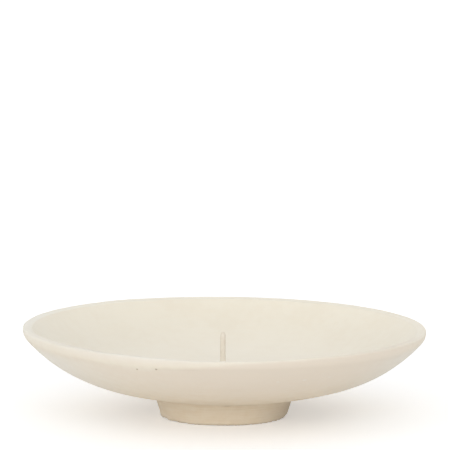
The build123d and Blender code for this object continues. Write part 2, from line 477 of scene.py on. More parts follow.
def throwing_rings(place):
    """Finger rings: quick along the section, slow round the dish."""
    round_dish = place.xy.normalized() * RING_DRIFT
    along = (place.xy.length + place.z) / RING_PITCH
    return noise.noise(Vector((along, round_dish.x, round_dish.y)))


def wall_depth(place, inside):
    """How far a wall stands out here."""
    rings = (RING_DEPTH_INSIDE if inside else RING_DEPTH_OUTSIDE) * throwing_rings(place)
    return rings + WAVE_DEPTH * clay_noise(place, WAVE_SIZE) + DENT_DEPTH * clay_noise(place, DENT_SIZE)


print(f"The inner wall moves by up to {RING_DEPTH_INSIDE + WAVE_DEPTH + DENT_DEPTH:.2f} mm")

# %% An uneven lip
LIP_DIP = (269, 21, -0.85)  # angle and width in degrees, rise
LIP_RISE = (128, 14, 0.27)
LIP_DENTS = (
    (233, 2.5, -0.25),
    (247, 2, -0.2),
    (261.5, 1.6, -0.4),
    (306, 3, -0.3),
)
LIP_LEVELLED = (212, 15, 0.85)  # the lip's inner edge is raised at the front left
LIP_RIPPLE_SIZE = 14.0
LIP_RIPPLE_DEPTH = 0.12
LIP_RIPPLE_SINK = 0.5  # share of their depth by which the ripples lie below the rim
LIP_CHATTER_SIZE = 3.5  # small dents along the lip's inner edge
LIP_CHATTER_DEPTH = 0.3


def lip_rise(place):
    """How far the whole lip is lifted here."""
    ripples = LIP_RIPPLE_DEPTH * (clay_noise(place, LIP_RIPPLE_SIZE) - LIP_RIPPLE_SINK)
    return swells(angle_of(place), (LIP_DIP, LIP_RISE, *LIP_DENTS)) + ripples


def inner_edge_rise(place):
    """How far the inner edge of the lip is lifted, more and more from the crest inwards."""
    across_lip = smooth((crest.x - place.xy.length) / (crest.x - inner_lip.x))
    chatter = LIP_CHATTER_DEPTH * clay_noise(place, LIP_CHATTER_SIZE)
    return across_lip * (swells(angle_of(place), (LIP_LEVELLED,)) + chatter)


print(f"In front the lip dips by {-lip_rise(Vector((0, -crest.x, crest.y))):.2f} mm")

# %% Move every point as the hand would
BULGE = (220, 16, 0.4)  # the belly hangs this much lower at the front left: angle, width in degrees, depth
BULGE_RADIUS = 70.0
BULGE_REACH = 20.0
LIP_FADE = 9.0  # how far down the walls the lip's unevenness reaches
CALM_RADIUS = 16.0  # the drilled middle stays as it was cut
CALM_HEIGHT = 3.0  # and so does the base, up to here


def hand_moved(place, normal):
    """Where the potter's hand leaves a point of the perfect dish, in millimetres."""
    radius = place.xy.length
    inside = normal.z > 0
    calm = smooth((radius - CALM_RADIUS) / CALM_RADIUS) * smooth(place.z / CALM_HEIGHT)
    moved = place + normal * wall_depth(place, inside) * calm
    lip = smooth(1 - (RIM_HEIGHT - place.z) / LIP_FADE)
    moved.z += lip * lip_rise(place)
    if inside:
        moved.z += lip * inner_edge_rise(place)
    else:
        hang = math.exp(-(((radius - BULGE_RADIUS) / BULGE_REACH) ** 2))
        moved.z -= calm * hang * swells(angle_of(place), (BULGE,))
    return moved


moved_places = [hand_moved(vertex.co / MM, vertex.normal) for vertex in dish.data.vertices]
for vertex, place in zip(dish.data.vertices, moved_places):
    vertex.co = place * MM
print("Rim height after the hand, mm:", round(max(v.co.z for v in dish.data.vertices) / MM, 2))

# %% [markdown]
# ## Dish: set down on its foot
#
# The base was cut off the wheel a little out of square, so the dish leans: its left side stands about two
# millimetres higher than its right. The mesh is turned about the middle of the rim, and then the cut base
# and the drilled middle are levelled again, because the table and the drill were level. `transform.rotate`
# gets its centre from `center_override`, because there is no window to take a pivot from.

# %% Lean, then level the base and the drilled middle
LEVEL_HEIGHT = 3.0  # the base's own level fades out this far up the foot
MIDDLE_FADE = 8.0

upright = [vertex.co.copy() for vertex in dish.data.vertices]
bpy.ops.object.mode_set(mode="EDIT")
bpy.ops.mesh.select_all(action="SELECT")
bpy.ops.transform.rotate(value=-DISH_LEAN, orient_axis="Y", center_override=(0, 0, RIM_HEIGHT * MM))
bpy.ops.object.mode_set(mode="OBJECT")
for vertex, before in zip(dish.data.vertices, upright):
    radius, height = before.xy.length / MM, before.z / MM
    in_base = 1 - smooth(height / LEVEL_HEIGHT)
    vertex.co.z += (before.z - vertex.co.z) * in_base
    seat = SEAT_RADIUS if height > HOLE_MIDDLE else UNDER_SEAT_RADIUS
    drilled = 1 - smooth((radius - seat) / MIDDLE_FADE)
    vertex.co += (before + Vector((SPIKE_X * MM, 0, 0)) - vertex.co) * drilled
left_rim = max(v.co.z for v in dish.data.vertices if v.co.x < -inner_lip.x * MM) / MM
right_rim = max(v.co.z for v in dish.data.vertices if v.co.x > inner_lip.x * MM) / MM
print(f"Rim: left {left_rim:.2f} mm high, right {right_rim:.2f} mm")

# %% [markdown]
# ## Dish: the ragged edge of the foot
#
# The foot was cut free with a wire and never wiped, so its lower edge is crumbly: two chips at the left, a
# long, shallow wear in front, a rubbed corner on the right, and flakes and crumbs everywhere. A bevel would
# be the same all round. The edge ring gets more points first, by subdividing the edges that run round it,
# and then each point near the corner is worn back by its own depth.

# %% Choosing faces and edges in code
def start_choice(piece, kind):
    """Make a piece active, with nothing of it selected, ready to choose edges or faces."""
    bpy.ops.object.select_all(action="DESELECT")
    bpy.context.view_layer.objects.active = piece
    bpy.ops.object.mode_set(mode="EDIT")
    bpy.ops.mesh.select_mode(type=kind)
    bpy.ops.mesh.select_all(action="DESELECT")
    bpy.ops.object.mode_set(mode="OBJECT")


def select_edges(piece, wanted):
    """Leave a piece in edit mode with those edges selected whose two ends pass a test."""
    start_choice(piece, "EDGE")
    places = [vertex.co / MM for vertex in piece.data.vertices]
    for edge in piece.data.edges:
        edge.select = wanted(places[edge.vertices[0]], places[edge.vertices[1]])
    bpy.ops.object.mode_set(mode="EDIT")


def select_faces(piece, wanted):
    """Leave a piece in edit mode with those faces selected whose middle passes a test."""
    start_choice(piece, "FACE")
    for face in piece.data.polygons:
        face.select = wanted(face.center / MM)
    bpy.ops.object.mode_set(mode="EDIT")


# %% More points round the foot's lower edge
EDGE_BAND = 2.6  # millimetres of side and base beside the corner
EDGE_CUTS = 1
LEVEL_TOLERANCE = 0.05  # an edge that runs round the foot climbs and widens by less than this
foot_x = -RIM_HEIGHT * math.sin(DISH_LEAN)  # the lean carries the foot this far to the left


def foot_spot(place):
    """A point of the foot as its distance out from the foot's own middle, and its height."""
    return Vector((math.hypot(place.x - foot_x, place.y), place.z))


def in_edge_band(place):
    return (foot_spot(place) - foot_bottom).length < EDGE_BAND


def runs_round_edge(start, end):
    change = foot_spot(end) - foot_spot(start)
    level = abs(change.x) < LEVEL_TOLERANCE and abs(change.y) < LEVEL_TOLERANCE
    return level and in_edge_band(start) and in_edge_band(end)


select_edges(dish, runs_round_edge)
bpy.ops.mesh.subdivide(number_cuts=EDGE_CUTS)
bpy.ops.object.mode_set(mode="OBJECT")
print(f"Dish after the edge was refined: {len(dish.data.polygons)} faces")

# %% Chips and wear
CHIPS = ((200, 6, 0.75), (217, 5, 0.55), (264, 17, 0.42), (347, 14, 0.5))  # angle, width in degrees, depth
FLAKE_SIZE = 4.2
FLAKE_DEPTH = 0.85
CRUMB_SIZE = 1.1
CRUMB_DEPTH = 0.42
EDGE_WEAR = 0.04
WEAR_REACH = 1.0  # wear is felt this far from the corner, and further where it is deep
WEAR_SLANT = 0.7  # inwards and upwards for each millimetre of wear


def edge_loss(place):
    """How far the foot's corner is worn back here, in millimetres."""
    chips = swells(angle_of(place), CHIPS)
    flakes = max(0.0, clay_noise(Vector((place.x, place.y, 0)), FLAKE_SIZE)) * FLAKE_DEPTH
    crumbs = clay_noise(place, CRUMB_SIZE) * CRUMB_DEPTH
    return max(0.0, EDGE_WEAR + chips + flakes + crumbs)


most_worn = 0.0
for vertex in dish.data.vertices:
    place = vertex.co / MM
    if in_edge_band(place):
        loss = edge_loss(place)
        reach = min(WEAR_REACH + loss, EDGE_BAND)
        nearness = smooth(1 - (foot_spot(place) - foot_bottom).length / reach)
        inward = Vector((foot_x - place.x, -place.y, 0)).normalized()
        vertex.co += (inward + Vector((0, 0, 1))) * loss * nearness * WEAR_SLANT * MM
        most_worn = max(most_worn, loss * nearness)
print(f"Foot's corner worn back by up to {most_worn:.2f} mm")

# %% [markdown]
# ## Dish: two pits, a drag mark and nicks
#
# Two grains burnt or fell out of the outer wall at the front left, and left pits a little under two
# millimetres wide. One of them was dragged by the turning tool, which left a faint groove behind it, and
# something has nicked the wall at the front right. They could be painted on, but a pit that is really there
# shades itself under any light. The faces around each mark are subdivided, and the points pressed in.

# %% Find the marks on the wall
PITS = ((244.2, 43.1, 0.8, 0.45), (250.3, 44.0, 0.9, 0.5))  # angle, height, radius, depth
NICKS = ((286.5, 36.1, 0.9, 0.08), (295.2, 36.3, 1.1, 0.1), (303.5, 36.9, 0.8, 0.08))
NICK_LENGTH = 1.6  # a nick is this much longer than it would be round
NICK_HEIGHT = 0.5
DRAG_ANGLES = (250.3, 262.5)
DRAG_HEIGHTS = (44.0, 44.45)
DRAG_WIDTH = 0.5
DRAG_DEPTH = 0.025
DRAG_ROOM = 10.0  # the drag mark is on the wall, not further than this from the rim's widest


def wall_place(angle, height):
    """The point of the outer wall at this angle and height, found by a ray from outside."""
    outwards = Vector((math.cos(math.radians(angle)), math.sin(math.radians(angle)), 0))
    start = (outwards * 2 * RIM_RADIUS + Vector((0, 0, height))) * MM
    return dish.ray_cast(start, -outwards)[1] / MM


def drag_distance(place):
    """Distance to the drag mark, growing quickly past its ends."""
    share = (angle_of(place) - DRAG_ANGLES[0]) / (DRAG_ANGLES[1] - DRAG_ANGLES[0])
    height = DRAG_HEIGHTS[0] + share * (DRAG_HEIGHTS[1] - DRAG_HEIGHTS[0])
    past_end = max(0.0, -share, share - 1) * RIM_RADIUS
    on_wall = place.xy.length > RIM_RADIUS - DRAG_ROOM
    return math.hypot(place.z - height, past_end) if on_wall else RIM_RADIUS


def nick_distance(place, middle):
    """Distance to a nick, which is long and low."""
    away = place - middle
    return math.hypot(away.xy.length / NICK_LENGTH, away.z / NICK_HEIGHT)


pits = [(wall_place(angle, height), radius, depth) for angle, height, radius, depth in PITS]
nicks = [(wall_place(angle, height), radius, depth) for angle, height, radius, depth in NICKS]
print("First pit at, mm:", tuple(round(x, 1) for x in pits[0][0]))

# %% More points round the marks
MARK_CUTS = 2
MARK_MARGIN = 1.8
FINE_SPREAD = 1.3  # the second, finer cuts reach this many radii
FINE_MARGIN = 0.3


def near_mark(place):
    spots = any((place - middle).length < radius + MARK_MARGIN for middle, radius, depth in pits + nicks)
    return spots or drag_distance(place) < MARK_MARGIN


def very_near_mark(place):
    reaches = [(middle, FINE_SPREAD * radius + FINE_MARGIN) for middle, radius, depth in pits + nicks]
    spots = any((place - middle).length < reach for middle, reach in reaches)
    return spots or drag_distance(place) < DRAG_WIDTH


for test in (near_mark, very_near_mark):
    select_faces(dish, test)
    bpy.ops.mesh.subdivide(number_cuts=MARK_CUTS)
    bpy.ops.object.mode_set(mode="OBJECT")
print(f"Dish with more points: {len(dish.data.polygons)} faces")

# %% Press the marks in
MARK_RAGGEDNESS = 0.35
MARK_GRAIN = 0.5


def hollow(distance, radius):
    """The depth of a round hollow as a share: 1 in the middle, 0 at its edge."""
    return smooth(1 - distance / radius) if distance < radius else 0.0


def mark_depths(place):
    """How deep the pits, the drag mark and the nicks are at a point."""
    ragged = 1 + MARK_RAGGEDNESS * clay_noise(place, MARK_GRAIN)
    pit = max(depth * hollow((place - middle).length, radius * ragged) for middle, radius, depth in pits)
    drag = DRAG_DEPTH * hollow(drag_distance(place), DRAG_WIDTH * ragged)
    nick = max(
        depth * hollow(nick_distance(place, middle), radius * ragged) for middle, radius, depth in nicks
    )
    return pit, drag, nick


normals = [vertex.normal.copy() for vertex in dish.data.vertices]
deepest = 0.0
for vertex, normal in zip(dish.data.vertices, normals):
    place = vertex.co / MM
    if near_mark(place):
        pressed = sum(mark_depths(place))
        vertex.co -= normal * pressed * MM
        deepest = max(deepest, pressed)
print(f"Deepest mark pressed in: {deepest:.2f} mm")

# %% Keep the dish inside its CAD box
over = 0.0
for vertex in dish.data.vertices:
    inside = Vector(min(max(x, low), high) for x, low, high in zip(vertex.co, dish_low, dish_high))
    over = max(over, (vertex.co - inside).length)
    vertex.co = inside
print(f"Trimmed by up to {over / MM:.3f} mm")

# %% [markdown]
# ## Dish: what the finish has to know
#
# The slip, the thin cream coat on the clay, isn't the same everywhere. It ran down and thinned on the front
# of the wall and gathered under the lip at the front left; the same numbers also paint shade on the wall,
# darker towards the front and the right and on the crest at the front left. It was wiped off the foot, so
# the warmer clay shows there, and its fade up the belly is painted light that lifts the belly's shade. Dust
# and painted shade darken the pits and the crumbled edge, and painted shade darkens the drag mark, the
# crease at the neck and the right of the foot. The nicks are rubbed pale, painted highlights lighten the lip
# and the left and right of the wall, and inside the bowl is paler towards its middle, with painted light on
# its sides.
# A mask from a texture would slide over these places, so each vertex carries five numbers of its own, one
# for each of these, and the shader reads them as attributes.

# %% Numbers on the vertices
FACING_UP = 0.2  # a normal that rises more than this is in the bowl or on top of the lip
dish_places = [(vertex.co / MM, vertex.normal.copy()) for vertex in dish.data.vertices]


def carry(piece, name, values):
    """Store one number a vertex under a name that shaders can read."""
    piece.data.attributes.new(name, "FLOAT", "POINT").data.foreach_set("value", values)
    print(f"{name}: up to {max(values):.2f} on {sum(value > 0 for value in values)} vertices")


# %% Where the slip is thin, and painted shade on the wall
THIN_START = -0.3  # millimetres below the rim, so a little above it
THIN_RUN = 4.0  # the slip thins out over this far
THIN_MOST = 0.62
THIN_LESS_BELOW = 0.12  # it is this much fuller again lower down
FULLER_START = 3.0
FULLER_RUN = 16.0
# the same mask paints shade: the wall darker towards the front and, starting higher, on the right
THIN_FRONT = (284, 54)  # angle and width in degrees
THIN_AT_BACK = 0.29  # as a share of the front
GATHERED = (246, 20)
GATHERED_DROP = 3.6  # thin slip starts this much lower under the lip where it gathered
GATHERED_RUN = 3.0  # and thins out over this much more
EARLY = (325, 22)
EARLY_RISE = 1.5  # at the right it starts higher
# painted shade on the crest of the lip at the front left
CREST_SHADE_SPOT = (240, 50)
CREST_SHADE = 0.32  # painted shade: the crest of the lip is darkened at the front left
CREST_START = 2.0
CREST_RUN = 6.0


def slip_thinness_and_shade(place, normal):
    """0 where the slip is full, rising to 1 where it is thin and where shade is painted on the wall."""
    if normal.z > FACING_UP and place.xy.length < inner_lip.x:
        return 0.0
    below = RIM_HEIGHT - place.z
    angle = angle_of(place)
    gathered = swell(angle, *GATHERED)
    start = THIN_START + GATHERED_DROP * gathered - EARLY_RISE * swell(angle, *EARLY)
    run = THIN_RUN + GATHERED_RUN * gathered
    most = THIN_MOST - THIN_LESS_BELOW * smooth((below - FULLER_START) / FULLER_RUN)
    round_dish = THIN_AT_BACK + (1 - THIN_AT_BACK) * swell(angle, *THIN_FRONT)
    on_crest = CREST_SHADE * swell(angle, *CREST_SHADE_SPOT) * smooth(1 - (below - CREST_START) / CREST_RUN)
    return max(on_crest, most * smooth((below - start) / run) * round_dish)


# thin slip, and painted shade on the front and right of the wall and on the crest
carry(dish, "thin_slip_and_shade", [slip_thinness_and_shade(place, normal) for place, normal in dish_places])

# %% Where the slip was wiped off, and painted light up the belly
WIPE_RADIUS = neck.x + 1.2  # a little outside the neck
WIPE_EDGE = 1.6
WIPE_HEIGHT = neck.y + 2.0
WIPE_TOP_EDGE = 2.5
# painted light: the bare clay colour spreads up the belly to lift its shade
BELLY_LIGHT = 0.85
BELLY_LIGHT_RADIUS = 122.0  # the fade up the belly would end here, past the rim
BELLY_LIGHT_EDGE = 67.0


def bare_foot_and_lit_belly(place, normal):
    """1 where the slip was wiped off the foot; its fade up the belly is painted light."""
    if normal.z > FACING_UP and place.z > HOLE_MIDDLE:
        return 0.0
    radius = place.xy.length
    on_foot = smooth((WIPE_RADIUS - radius) / WIPE_EDGE) * smooth((WIPE_HEIGHT - place.z) / WIPE_TOP_EDGE)
    up_belly = BELLY_LIGHT * smooth((BELLY_LIGHT_RADIUS - radius) / BELLY_LIGHT_EDGE)
    return max(on_foot, up_belly)


# bare clay on the foot, and painted light up the belly
carry(dish, "bare_and_lit", [bare_foot_and_lit_belly(place, normal) for place, normal in dish_places])

# %% Where dust settled, and painted shade in the marks, the crease and on the foot
FULL_MARK = 0.5  # a mark shows in full from this share of the shallowest one's depth
# dust and painted shade darken the pits; painted shade darkens the drag mark and the crease at the neck
PIT_DUST_AND_SHADE = 0.7
DRAG_SHADE = 0.05
NECK_SHADE = (272.5, 3, 0.35)  # angle, width in degrees, strength
NECK_SHADE_REACH = 1.1
# dust and painted shade along the crumbled lower edge of the foot
EDGE_DUST_AND_SHADE = 0.45
EDGE_DUST_AND_SHADE_REACH = 1.2
# painted shade on the right of the foot
FOOT_RIGHT_SHADE = (345, 28, 0.33)
FOOT_RIGHT_SHADE_RADIUS = neck.x + 1.0
FOOT_RIGHT_SHADE_EDGE = 2.0
FOOT_RIGHT_SHADE_TOP = 1.5  # it ends at this many times the neck's height
full_pit = FULL_MARK * min(depth for middle, radius, depth in pits)
full_nick = FULL_MARK * min(depth for middle, radius, depth in nicks)


def dust_and_shade(place):
    """How dark a point is: dust and painted shade in the pits and along the foot's edge, painted shade in
    the drag mark, the crease at the neck and on the right of the foot.
    """
    pit, drag, nick = mark_depths(place)
    spot = foot_spot(place)
    angle = angle_of(place)
    in_pit = PIT_DUST_AND_SHADE * smooth(pit / full_pit)
    in_drag = DRAG_SHADE * drag / DRAG_DEPTH
    at_neck = swells(angle, (NECK_SHADE,)) * smooth(1 - (spot - neck).length / NECK_SHADE_REACH)
    at_edge = EDGE_DUST_AND_SHADE * smooth(1 - (spot - foot_bottom).length / EDGE_DUST_AND_SHADE_REACH)
    on_foot = smooth((FOOT_RIGHT_SHADE_RADIUS - spot.x) / FOOT_RIGHT_SHADE_EDGE) * smooth(FOOT_RIGHT_SHADE_TOP - place.z / neck.y)
    return max(in_pit, in_drag, at_neck, at_edge, swells(angle, (FOOT_RIGHT_SHADE,)) * on_foot)


# dust, and painted shade in the marks, the crease, the foot's edge and the right of the foot
carry(dish, "dust_and_shade", [dust_and_shade(place) for place, normal in dish_places])

# %% Pale nicks, and painted highlights on the lip and the sides of the wall
NICK_PALE = 0.6
# painted highlights on the top of the lip, at the front left and on the left
LIP_HIGHLIGHTS = ((248, 30, 0.6), (168, 30, 0.5))  # angle, width in degrees, strength
LIP_HIGHLIGHT_TOP = RIM_HEIGHT + 1.0  # the left side stands higher than the rim does on the axis
LIP_HIGHLIGHT_REACH = 6.5
LIP_HIGHLIGHT_EDGE = 1.5
# painted light: the outer wall lighter on its left and right
SIDE_LIGHT_OUTSIDE = ((203, 22, 0.75), (342, 21, 0.72))
SIDE_LIGHT_TOP = RIM_HEIGHT - 3.0
SIDE_LIGHT_TOP_EDGE = 7.0
SIDE_LIGHT_RADIUS = 50.0
SIDE_LIGHT_EDGE = 30.0


def painted_side_light(place, spots):
    """Painted light at these angles round the dish, out towards its rim."""
    return swells(angle_of(place), spots) * smooth((place.xy.length - SIDE_LIGHT_RADIUS) / SIDE_LIGHT_EDGE)


def pale_nicks_and_highlights(place, normal):
    """Nicks rubbed pale, painted highlights on the lip, and painted light on the left and right of the wall.
    """
    nick = NICK_PALE * smooth(mark_depths(place)[2] / full_nick)
    on_lip = smooth(1 - (LIP_HIGHLIGHT_TOP - place.z) / LIP_HIGHLIGHT_REACH)
    on_lip *= smooth((place.xy.length - inner_lip.x) / LIP_HIGHLIGHT_EDGE)
    outside = 0.0 if normal.z > FACING_UP else smooth((SIDE_LIGHT_TOP - place.z) / SIDE_LIGHT_TOP_EDGE)
    return max(nick, on_lip * swells(angle_of(place), LIP_HIGHLIGHTS), outside * painted_side_light(place, SIDE_LIGHT_OUTSIDE))


# pale nicks, and painted highlights on the lip and the sides of the wall
carry(dish, "nicks_and_highlights", [pale_nicks_and_highlights(place, normal) for place, normal in dish_places])

# %% A paler middle of the bowl, and painted light on its sides
# painted light on the left and right of the inner wall
SIDE_LIGHT_INSIDE = ((174, 40, 0.4), (0, 25, 0.42))  # angle, width in degrees, strength
# the bowl is paler towards its middle
PALE_MIDDLE = 0.6
PALE_MIDDLE_RADIUS = 104.0
PALE_MIDDLE_EDGE = 36.0


def pale_bowl_and_side_light(place, normal):
    """Paler towards the middle of the bowl, with painted light on its left and right sides."""
    if normal.z < FACING_UP:
        return 0.0
    return max(PALE_MIDDLE * smooth((PALE_MIDDLE_RADIUS - place.xy.length) / PALE_MIDDLE_EDGE), painted_side_light(place, SIDE_LIGHT_INSIDE))


# a paler bowl middle, and painted light on the bowl's sides
carry(dish, "pale_bowl_and_light", [pale_bowl_and_side_light(place, normal) for place, normal in dish_places])
print("Attributes on the dish:", [a.name for a in dish.data.attributes if a.data_type == "FLOAT"])

# %% [markdown]
# ## Finish: chalky slip on clay
#
# Matte slip scatters light almost evenly, so it is rough all over, with hardly any shine. What makes it look
# like clay is small: soft clouds where the coat is thicker, fine lines from turning, and a grain like fine
# sandpaper. An image could show all this, but it would have to be drawn and unwrapped, and noise needs
# neither. The lines follow the wheel, so their noise is stretched: it reads the distance from the axis and
# the height, which change quickly across a line, and hardly the place round the dish. A bump node gives the
# sand, the lines and the mottle a little relief.

# %% Helpers for patterns
NOISE_MEAN = 0.5


def new_finish(name):
    """An empty material, and its object coordinates, from which its other nodes are made."""
    material = bpy.data.materials.new(name)
    material.use_nodes = True
    material.node_tree.nodes.clear()
    return material, Shade(material.node_tree).node("ShaderNodeTexCoord", output="Object")


def grain(place, size, detail=2.0, roughness=0.5):
    """Noise with spots of about this size in millimetres."""
    sockets = {"Vector": place, "Scale": 1 / (size * MM), "Detail": detail, "Roughness": roughness}
    return place.node("ShaderNodeTexNoise", inputs=sockets)


def part_of(place, axis):
    """One of the three numbers of a place."""
    return place.node("ShaderNodeSeparateXYZ", inputs={"Vector": place}, output=axis)


def from_axis(place):
    """The distance of a place from the upright axis."""
    east, north = part_of(place, "X"), part_of(place, "Y")
    return place.math("SQRT", east * east + north * north)


# %% Clay: clouds, mottle, sand and turning lines
CLOUD_SIZE = 28
MOTTLE_SIZE = 5
SAND_SIZE = 0.45
TURNING_SIZE = 0.8
TURNING_STRETCH = 0.03  # the lines change this slowly round the dish
MOTTLE_SHARE = 0.4

clay, place = new_finish("chalky_slip")
across_lines = from_axis(place) + part_of(place, "Z")
along_lines = {axis: part_of(place, source) * TURNING_STRETCH for axis, source in (("Y", "X"), ("Z", "Y"))}
wheel = place.node("ShaderNodeCombineXYZ", inputs={"X": across_lines, **along_lines})
clouds = grain(place, CLOUD_SIZE, detail=3)
mottle = grain(place, MOTTLE_SIZE, detail=3)
sand = grain(place, SAND_SIZE)
turning = grain(wheel, TURNING_SIZE, roughness=0.6)
uneven = mottle - NOISE_MEAN


def mottled(pattern):
    """A noise with some mottle mixed in."""
    return pattern * (1 - MOTTLE_SHARE) + mottle * MOTTLE_SHARE


print("Clay so far:", len(clay.node_tree.nodes), "nodes")

# %% Helpers for colours
def painted_on(place, name):
    """An attribute that the mesh carries."""
    return place.node("ShaderNodeAttribute", {"attribute_name": name}, output="Fac")


def span(value, low, high, to_low=0.0, to_high=1.0):
    """A soft ramp from one value to another."""
    sockets = {"Value": value, "From Min": low, "From Max": high, "To Min": to_low, "To Max": to_high}
    return value.node("ShaderNodeMapRange", {"interpolation_type": "SMOOTHSTEP"}, sockets)


def tint(factor, first, second):
    """One colour going over into another."""
    return factor.node("ShaderNodeMix", {"data_type": "RGBA"}, {"Factor": factor, "A": first, "B": second})


# %% Clay: colour
SLIP_FULL = srgb(235, 230, 217)
SLIP_CLOUD = srgb(233, 227, 213)
# thin slip, and the colour of the painted shade on the wall
SLIP_THIN_SHADED = srgb(227, 218, 205)
# the paler colour of the bowl's middle and of the painted light inside
BOWL_PALE_COLOUR = srgb(244, 239, 228)
# bare clay; up the belly the same colour is painted light
CLAY_BARE = srgb(243, 232, 213)
CLAY_BARE_DARK = srgb(237, 223, 200)
# the colour of dust and of the painted shade
DUST_AND_SHADE_COLOUR = srgb(136, 112, 84)
# the colour of the pale nicks and of the painted highlights
NICK_AND_HIGHLIGHT_COLOUR = srgb(236, 236, 232)
CLOUD_EDGES = (0.38, 0.66)  # values between which one colour goes over into the next
BARE_EDGES = (0.35, 0.7)
THIN_AND_SHADE_EDGES = (0.0, 0.55)
BARE_AND_LIT_EDGES = (0.0, 0.95)
TURNING_EDGES = (0.35, 0.75)
GRIT_EDGES = (0.2, 0.6)
THIN_AND_SHADE_BREAK_UP = 0.2  # how far the mottle shifts an edge
BARE_AND_LIT_BREAK_UP = 0.15
TURNING_TINT = 0.1
DUST_AND_SHADE_ON_LOW_SAND = 0.7
BOWL_PALE_TINT = 0.7
NICK_AND_HIGHLIGHT_TINT = 0.7

bare_and_lit = painted_on(place, "bare_and_lit")
thin_and_shaded = painted_on(place, "thin_slip_and_shade") + uneven * THIN_AND_SHADE_BREAK_UP
grit = span(sand, *GRIT_EDGES, to_low=DUST_AND_SHADE_ON_LOW_SAND)
slip = tint(span(mottled(clouds), *CLOUD_EDGES), SLIP_FULL, SLIP_CLOUD)
bare = tint(span(mottled(turning), *BARE_EDGES), CLAY_BARE, CLAY_BARE_DARK)
# thin slip and painted shade on the wall
colour = tint(span(thin_and_shaded, *THIN_AND_SHADE_EDGES), slip, SLIP_THIN_SHADED)
# bare clay on the foot, and painted light up the belly
colour = tint(span(bare_and_lit + uneven * BARE_AND_LIT_BREAK_UP, *BARE_AND_LIT_EDGES), colour, bare)
colour = tint(span(turning, *TURNING_EDGES, to_high=TURNING_TINT), colour, CLAY_BARE_DARK)
# dust and painted shade
colour = tint(painted_on(place, "dust_and_shade") * grit, colour, DUST_AND_SHADE_COLOUR)
# paler bowl middle, and painted light on the bowl's sides
colour = tint(painted_on(place, "pale_bowl_and_light") * BOWL_PALE_TINT, colour, BOWL_PALE_COLOUR)
# pale nicks and painted highlights
colour = tint(painted_on(place, "nicks_and_highlights") * NICK_AND_HIGHLIGHT_TINT, colour, NICK_AND_HIGHLIGHT_COLOUR)
print("Clay with its colours:", len(clay.node_tree.nodes), "nodes")

# %% Helpers for surfaces
NOISE_BULK = (0.3, 0.7)  # most values of a noise lie between these


def relief(height, depth, strength):
    """A bump of this depth in millimetres for heights from 0 to 1."""
    sockets = {"Height": height, "Distance": depth * MM, "Strength": strength}
    return height.node("ShaderNodeBump", inputs=sockets)


def surface(place, sockets):
    """The shader itself and the material's output."""
    coat = place.node("ShaderNodeBsdfPrincipled", inputs=sockets)
    place.node("ShaderNodeOutputMaterial", inputs={"Surface": coat})


# %% Clay: surface
SAND_RELIEF = 0.3
BARE_SAND_RELIEF = 0.5  # added by the same mask: on the wiped foot and where light is painted up the belly
TURNING_RELIEF = 0.4
MOTTLE_RELIEF = 0.6
CLAY_ROUGHNESS = (0.78, 0.92)

sandy = sand * (SAND_RELIEF + bare_and_lit * BARE_SAND_RELIEF)
heights = sandy + turning * TURNING_RELIEF + mottle * MOTTLE_RELIEF
surface(place, {
    "Base Color": colour,
    "Roughness": span(mottle, *NOISE_BULK, *CLAY_ROUGHNESS),
    "Specular IOR Level": 0.25,
    "Diffuse Roughness": 0.5,
    "Normal": relief(heights, depth=0.12, strength=0.5),
})
dish.data.materials.append(clay)
print("Clay finish:", len(clay.node_tree.nodes), "nodes")

# %% [markdown]
# ## Spike: a turned pin with a flange and a thread
#
# The spike is steel: a pin with a blunt tip, a flange that sits on a soft washer, and an M4 shank that goes
# through the floor of the dish. It could be spun from an outline as the dish was, but it is modelled as it
# would be on a lathe, from the flange outwards. A cylinder is the flange; its top is inset and drawn up into
# the pin and the tip, and its underside is inset and drawn down into the shank. The screw thread is cut by
# moving the rings of the shank in and out along a helix.

# %% Helpers for pieces on the spike's axis
TOUCH = 0.01  # places closer than this count as one
PIN_RADIUS = spike_mount["dims"]["r_mm"]
spike_axis = Vector((SPIKE_X, 0, 0)) * MM


def off_axis(spot):
    """The distance of a point from the spike's axis."""
    return math.hypot(spot.x - SPIKE_X, spot.y)


def end_at(height):
    """A test for the round face that closes a piece at this height."""
    return lambda spot: abs(spot.z - height) < TOUCH and off_axis(spot) < PIN_RADIUS


def ring_at(height, radius):
    """A test for the edges of one ring round the axis."""
    def on_ring(spot):
        return abs(spot.z - height) < TOUCH and abs(off_axis(spot) - radius) < TOUCH

    return lambda start, end: on_ring(start) and on_ring(end)


def round_blank(name, radius, bottom, top, sides):
    """A cylinder on the axis, from which a piece is shaped."""
    bpy.ops.object.select_all(action="DESELECT")
    bpy.ops.mesh.primitive_cylinder_add(
        vertices=sides,
        radius=radius * MM,
        depth=(top - bottom) * MM,
        location=spike_axis + Vector((0, 0, (top + bottom) / 2 * MM)),
    )
    piece = bpy.context.object
    piece.name = piece.data.name = name
    bpy.ops.object.transform_apply(location=True, rotation=True, scale=True)
    return piece


print("Axis of the spike, mm:", tuple(round(x / MM, 2) for x in spike_axis))

# %% Draw the spike out of its flange
FLANGE_BASE = 16.6
FLANGE_TOP = 18.2
TIP_RADIUS = 0.8
TIP_LENGTH = 1.8
SHANK_RADIUS = 2.0
SPIKE_SIDES = 48
spike_low, spike_high = (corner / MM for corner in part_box("candle_spike"))
flange_radius = (spike_high.y - spike_low.y) / 2
tip_base = spike_high.z - TIP_LENGTH


def drawn(distance, scale=1.0):
    """Extrude the chosen face along the spike, narrowing it to a share of its width."""
    bpy.ops.mesh.extrude_region_move(TRANSFORM_OT_translate={"value": (0, 0, distance * MM)})
    bpy.ops.transform.resize(value=(scale, scale, 1), center_override=spike_axis)


